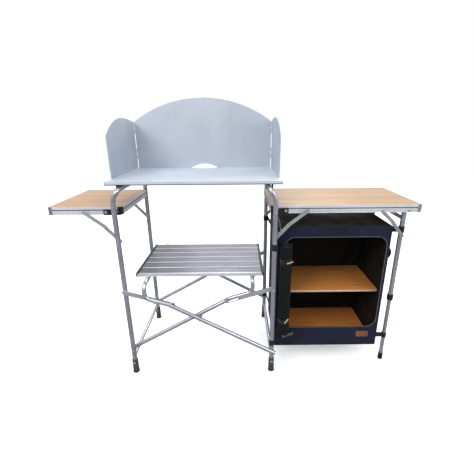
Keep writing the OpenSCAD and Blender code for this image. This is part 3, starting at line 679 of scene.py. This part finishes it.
def rolled_door():
    """The door rolled up and tied beside the opening: a loose spiral, pinched at its two ties."""
    low, high = (Vector(p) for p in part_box("door_roll"))
    middle = (low + high) / 2
    radius = (high.x - low.x) / 2
    turns, per_turn, rows = 4, 26, 74
    steps = turns * per_turn
    first_angle = -5.54
    ties = [low.z + 63 * MM, low.z + 323 * MM]
    vertices, uvs, width = [], [], 0.0
    for row in range(rows):
        z = low.z + (high.z - low.z) * row / (rows - 1)
        pinch = 1 - sum(0.17 * math.exp(-((z - tie) / (16 * MM)) ** 2) for tie in ties)
        run = 0.0
        for step in range(steps + 1):
            turn = step / per_turn
            angle = 2 * math.pi * turn + first_angle
            share = 0.34 + 0.64 * turn / turns
            out = Vector((math.cos(angle), math.sin(angle), 0))
            fold = noise.noise(out * 1.6 + Vector((0, turn, z * 13))) * 1.6 * MM
            reach = radius * share * pinch + fold * share - 1.0 * MM
            hem = 2.2 * MM * math.sin(5 * angle + turn) * share if row in (0, rows - 1) else 0.0
            vertices.append(Vector((middle.x, middle.y, z + hem)) + out * reach)
            run += reach * 2 * math.pi / per_turn
            uvs.append((run, z))
        width += run / rows
    made = piece("rolled_door", vertices, grid_faces(rows, steps + 1), "lining", uvs)
    thicken(made, FABRIC, offset=-1.0)
    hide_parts("door_roll")
    packs_flat(made)
    for index, (tie, lean) in enumerate(zip(ties, (0.95, 0.3))):
        path = circle_path(middle.x, middle.y, radius * 0.86)
        band = strap(f"door_tie_{index}", path, tie - 9 * MM, tie + 9 * MM, 1.6 * MM, closed=True)
        start = Vector((middle.x + 1 * MM, middle.y - radius * 0.9 - 1 * MM, tie - 5 * MM))
        heading = Vector((math.cos(lean), 0.1, math.sin(lean)))
        toggle_path = [start + heading * (k * 2.2 * MM) for k in range(12)]
        toggle = tube(f"door_toggle_{index}", toggle_path, 2.6 * MM, "toggle", sides=12)
        for part in (band, toggle):
            packs_flat(part)


def zip_end():
    """The loose end of the zip tape, low on the left of the front."""
    low, _ = cupboard_size()
    rise = 0.33
    tilt = Vector((math.cos(rise), 0, math.sin(rise)))
    start = Vector((low.x + 30 * MM, low.y - 3.6 * MM, low.z + 46 * MM))
    columns, rows, step, height = 13, 5, 4.2 * MM, 3.2 * MM
    vertices, uvs = [], []
    for k in range(columns):
        for row in range(rows):
            lift = (-1.2 * MM * math.sin(math.pi * k / (columns - 1))
                    - 0.8 * MM * math.sin(math.pi * row / (rows - 1)))
            vertices.append(start + tilt * (k * step) + Vector((0, lift, (row - rows // 2) * height)))
            uvs.append((k * step, row * height))
    made = piece("zip_end", vertices, grid_faces(columns, rows), "zip", uvs)
    thicken(made, 1.2 * MM)
    packs_flat(made)


# ---------- webbing ----------

def rides(parts, body):
    """Webbing that stays with one body."""
    for part in parts:
        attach(part, body)


def leg_loop(name, leg, radius, low, body, tail_to, node=None):
    """A strap sewn round a leg and its keeper, and the tail that ties it to the cupboard wall."""
    x, y = leg
    high = low + 24 * MM
    loop = strap(name, circle_path(x, y, radius), low, high, FABRIC, closed=True)
    heading = Vector((tail_to[0] - x, tail_to[1] - y)).normalized()
    start = Vector(leg) + heading * radius * 0.2 + Vector((math.copysign(radius, tail_to[0] - x), 0)) * 0.9
    steps = 14
    path = []
    for k in range(steps + 1):
        place = start.lerp(Vector(tail_to), k / steps)
        path.append((place.x, place.y))
    tail = strap(f"{name}_tail", path, low + 1 * MM, high - 1 * MM, 1.4 * MM)
    ring = circle_path(x, y, radius + 1.3 * MM)
    inner_side = ring[:12] if y < 0 else ring[-12:]
    keeper = strap(f"{name}_keeper", inner_side, low + 5 * MM, high - 5 * MM, 1.4 * MM, finish="plastic")
    if node:
        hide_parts(node)
    rides((loop, keeper), body)
    return loop, keeper, tail


def cupboard_webbing():
    """Loops round the tower legs and the outer legs, with tails to the cupboard's corners.

    As the outer legs fold, their low loops ride with the lower legs above the feet and leave their tails on
    the cupboard."""
    low, high = cupboard_size()
    straps_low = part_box("cupboard_straps")[0][2]
    outer_straps_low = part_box("outer_straps")[0][2]
    legs, feet, outer = (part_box(node) for node in ("right_leg_frame", "right_feet", "outer_upper_legs"))
    leg_x = (feet[0][0] + feet[1][0]) / 2
    leg_y = (legs[1][1] - legs[0][1]) / 2 - LEG_RADIUS
    outer_x = (outer[0][0] + outer[1][0]) / 2
    outer_y = outer[1][1] - LEG_RADIUS
    round_tube, round_inner_tube = LEG_RADIUS + 1.2 * MM, LEG_RADIUS - 0.3 * MM
    tower_heights = (straps_low + 16 * MM, straps_low + 432 * MM)
    stitch, corner_gap = 0.8 * MM, 12 * MM
    for side, wall_y, end in ((-1, low.y, "front"), (1, high.y, "rear")):
        target = (low.x - stitch, wall_y - side * corner_gap)
        for index, z in enumerate(tower_heights):
            *_, tail = leg_loop(f"leg_loop_{end}_{index}", (leg_x, side * leg_y), round_tube, z, RIGHT,
                                target, "cupboard_straps")
            rides((tail,), RIGHT)
            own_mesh(tail)
        target = (high.x + stitch, side * min(outer_y, side * wall_y - corner_gap))
        outer_leg = (outer_x, side * outer_y)
        *low_parts, low_tail = leg_loop(f"outer_loop_{end}_low", outer_leg, round_inner_tube, straps_low,
                                        "outer_leg_lower", target)
        for part in low_parts:
            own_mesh(part)
        packs_flat(low_tail)
        *_, tail = leg_loop(f"outer_loop_{end}_high", outer_leg, round_tube, outer_straps_low, "outer_leg",
                            target, "outer_straps")
        rides((tail,), "outer_leg")
        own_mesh(tail)


def cupboard_handle():
    """A carrying loop of webbing sewn to the right wall."""
    low, high = (Vector(p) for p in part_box("cupboard_handle"))
    middle, reach = (low + high) / 2, high.x - low.x - 1 * MM
    steps, half = 28, (high.y - low.y) / 2
    outer = [(-half, 0.5), (-half * 0.9, 1), (half * 0.9, 1), (half, 0.5)]
    profile = outer + [(y, -share) for y, share in reversed(outer)]
    vertices, uvs = [], []
    for k in range(steps + 1):
        angle = math.pi * (k / steps - 0.5)
        out = Vector((math.cos(angle), 0, math.sin(angle)))
        belly = reach * (1 - 0.06 * math.sin(angle))
        for y, share in profile:
            vertices.append(Vector((low.x, middle.y + y, middle.z)) + out * (belly + share * 0.9 * MM))
            uvs.append((angle * reach, y))
    faces = swept_faces(steps + 1, len(profile), closed=False)
    made = piece("carry_handle", vertices, faces, "webbing", uvs)
    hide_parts("cupboard_handle")
    packs_flat(made)


def plain_patch():
    """A plain sewn patch, low on the right of the front."""
    low, high = cupboard_size()
    x0, z0, wide, tall = high.x - 88 * MM, low.z + 44 * MM, 50 * MM, 25 * MM
    count, rings = 48, 6
    outer = rounded_outline(x0, x0 + wide, z0, z0 + tall, 4 * MM, count)
    centre = (x0 + wide / 2, z0 + tall / 2)
    vertices, uvs = [], []
    for ring in range(rings):
        share = max(0, ring - 1) / rings
        lift = 0.5 * MM if ring == 0 else 4.6 * MM + 0.6 * MM * min(1.0, share * 4)
        for x, z in outer:
            px, pz = x + (centre[0] - x) * share, z + (centre[1] - z) * share
            vertices.append(Vector((px, low.y - lift, pz)))
            uvs.append((px, pz))
    vertices.append(Vector((centre[0], low.y - 5.2 * MM, centre[1])))
    uvs.append(centre)
    last = (rings - 1) * count
    faces = grid_faces(rings, count, closed=True)
    faces += [(last + k, last + (k + 1) % count, last + count) for k in range(count)]
    made = piece("plain_patch", vertices, faces, "patch", uvs)
    thicken(made, 1.0 * MM)
    packs_flat(made)


# ---------- springs ----------

def knee_springs():
    """Coil springs on the right-hand knees, in place of their plain rods."""
    low, high = (Vector(p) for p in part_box("stay_springs"))
    turns, per_turn = 20, 10
    for side, end_name in ((-1, "front"), (1, "rear")):
        y = side * (high.y - 1.4 * MM)
        start = Vector((high.x - 2.2 * MM, y, low.z + 3 * MM))
        end = Vector((low.x + 2.2 * MM, y, high.z - 3 * MM))
        axis = (end - start).normalized()
        across = axis.cross(Vector((0, 1, 0))).normalized()
        up = axis.cross(across)
        path = []
        for k in range(turns * per_turn + 1):
            share = k / (turns * per_turn)
            angle = 2 * math.pi * k / per_turn
            radius = 1.5 * MM * min(1.0, 8 * share, 8 * (1 - share))
            path.append(start.lerp(end, share) + radius * (math.cos(angle) * across + math.sin(angle) * up))
        made = tube(f"knee_spring_{end_name}", path, 0.45 * MM, "steel", sides=6)
        if side < 0:
            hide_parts("stay_springs")
        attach(made, "right_stay_lower")


# ---------- studio ----------

def camera():
    """A wide lens close in front of the table, looking a little down."""
    place = Vector((0.156, -1.283, 0.977))
    yaw, pitch, roll = (math.radians(a) for a in (0.3, 19.3, -0.4))
    right = Vector((math.cos(yaw), -math.sin(yaw), 0))
    ahead = Vector((math.sin(yaw) * math.cos(pitch), math.cos(yaw) * math.cos(pitch), -math.sin(pitch)))
    up = right.cross(ahead)
    side = right * math.cos(roll) + up * math.sin(roll)
    top = up * math.cos(roll) - right * math.sin(roll)
    data = bpy.data.cameras.new("camera")
    data.sensor_width = 36
    data.lens = 24.0
    data.shift_x = -0.0084
    data.clip_start = 0.02
    made = bpy.data.objects.new("camera", data)
    turn = Matrix((side, top, -ahead)).transposed().to_4x4()
    made.matrix_world = Matrix.Translation(place) @ turn
    bpy.context.scene.collection.objects.link(made)
    bpy.context.scene.camera = made


def area_light(name, place, target, size, power, colour=(1, 1, 1)):
    """A soft rectangular light at place that points at target."""
    data = bpy.data.lights.new(name, "AREA")
    data.shape = "RECTANGLE"
    data.size, data.size_y = size
    data.energy = power
    data.color = colour
    made = bpy.data.objects.new(name, data)
    heading = Vector(target) - Vector(place)
    made.matrix_world = Matrix.Translation(place) @ heading.to_track_quat("-Z", "Y").to_matrix().to_4x4()
    bpy.context.scene.collection.objects.link(made)


def surroundings():
    """White where the camera looks past the table; metal sees a bright ceiling and a dim lower half."""
    world = bpy.data.worlds.new("studio")
    world.use_nodes = True
    tree = world.node_tree
    seen = tree.nodes["Background"]
    seen.inputs["Color"].default_value = (1, 1, 1, 1)
    lit = tree.nodes.new("ShaderNodeBackground")
    coords = tree.nodes.new("ShaderNodeTexCoord")
    height = tree.nodes.new("ShaderNodeSeparateXYZ")
    ramp = tree.nodes.new("ShaderNodeValToRGB")
    spread = tree.nodes.new("ShaderNodeMapRange")
    spread.inputs["From Min"].default_value = -1
    tree.links.new(coords.outputs["Generated"], height.inputs["Vector"])
    tree.links.new(height.outputs["Z"], spread.inputs["Value"])
    tree.links.new(spread.outputs["Result"], ramp.inputs["Fac"])
    tree.links.new(ramp.outputs["Color"], lit.inputs["Color"])
    stops = ((0.0, 0.16), (0.38, 0.2), (0.5, 0.42), (0.6, 0.8), (0.75, 1.0))
    while len(ramp.color_ramp.elements) < len(stops):
        ramp.color_ramp.elements.new(0.5)
    for element, (place, grey) in zip(ramp.color_ramp.elements, stops):
        element.position = place
        element.color = (grey * 0.98, grey, grey * 1.03, 1)
    path = tree.nodes.new("ShaderNodeLightPath")
    choose = tree.nodes.new("ShaderNodeMixShader")
    tree.links.new(path.outputs["Is Camera Ray"], choose.inputs["Fac"])
    tree.links.new(lit.outputs["Background"], choose.inputs[1])
    tree.links.new(seen.outputs["Background"], choose.inputs[2])
    tree.links.new(choose.outputs["Shader"], tree.nodes["World Output"].inputs["Surface"])
    bpy.context.scene.world = world


def studio():
    """A pale floor that glows a little, the surroundings, and four soft lights."""
    bpy.context.scene.view_settings.view_transform = "Standard"
    half = 6.0
    floor_mesh = bpy.data.meshes.new("floor")
    floor_mesh.from_pydata([(-half, -half, 0), (half, -half, 0), (half, half, 0), (-half, half, 0)], [],
                           [(0, 1, 2, 3)])
    finish = Finish("floor", Roughness=0.9, Emission_Strength=0.35)
    finish.shader.inputs["Base Color"].default_value = srgb(244, 244, 244)
    finish.shader.inputs["Emission Color"].default_value = (1, 1, 1, 1)
    floor_mesh.materials.append(finish.material)
    floor = bpy.data.objects.new("floor", floor_mesh)
    floor.visible_glossy = False
    bpy.context.scene.collection.objects.link(floor)
    surroundings()
    area_light("key", (-1.6, -2.2, 2.6), (0.1, 0, 0.6), (1.6, 1.2), 50)
    area_light("fill", (2.4, -1.8, 1.8), (0.2, 0, 0.5), (1.6, 1.6), 22, (0.95, 0.97, 1.0))
    area_light("rear", (0.4, 2.4, 2.4), (0.1, 0, 0.7), (2.0, 1.0), 25)
    area_light("overhead", (0.2, -0.2, 3.0), (0.2, 0, 0.5), (2.4, 1.6), 25)


camera()
studio()
dress_cad_nodes()
cupboard_walls()
cupboard_face()
cupboard_zip()
zip_end()
cupboard_edges()
rolled_door()
cupboard_webbing()
cupboard_handle()
plain_patch()
knee_springs()
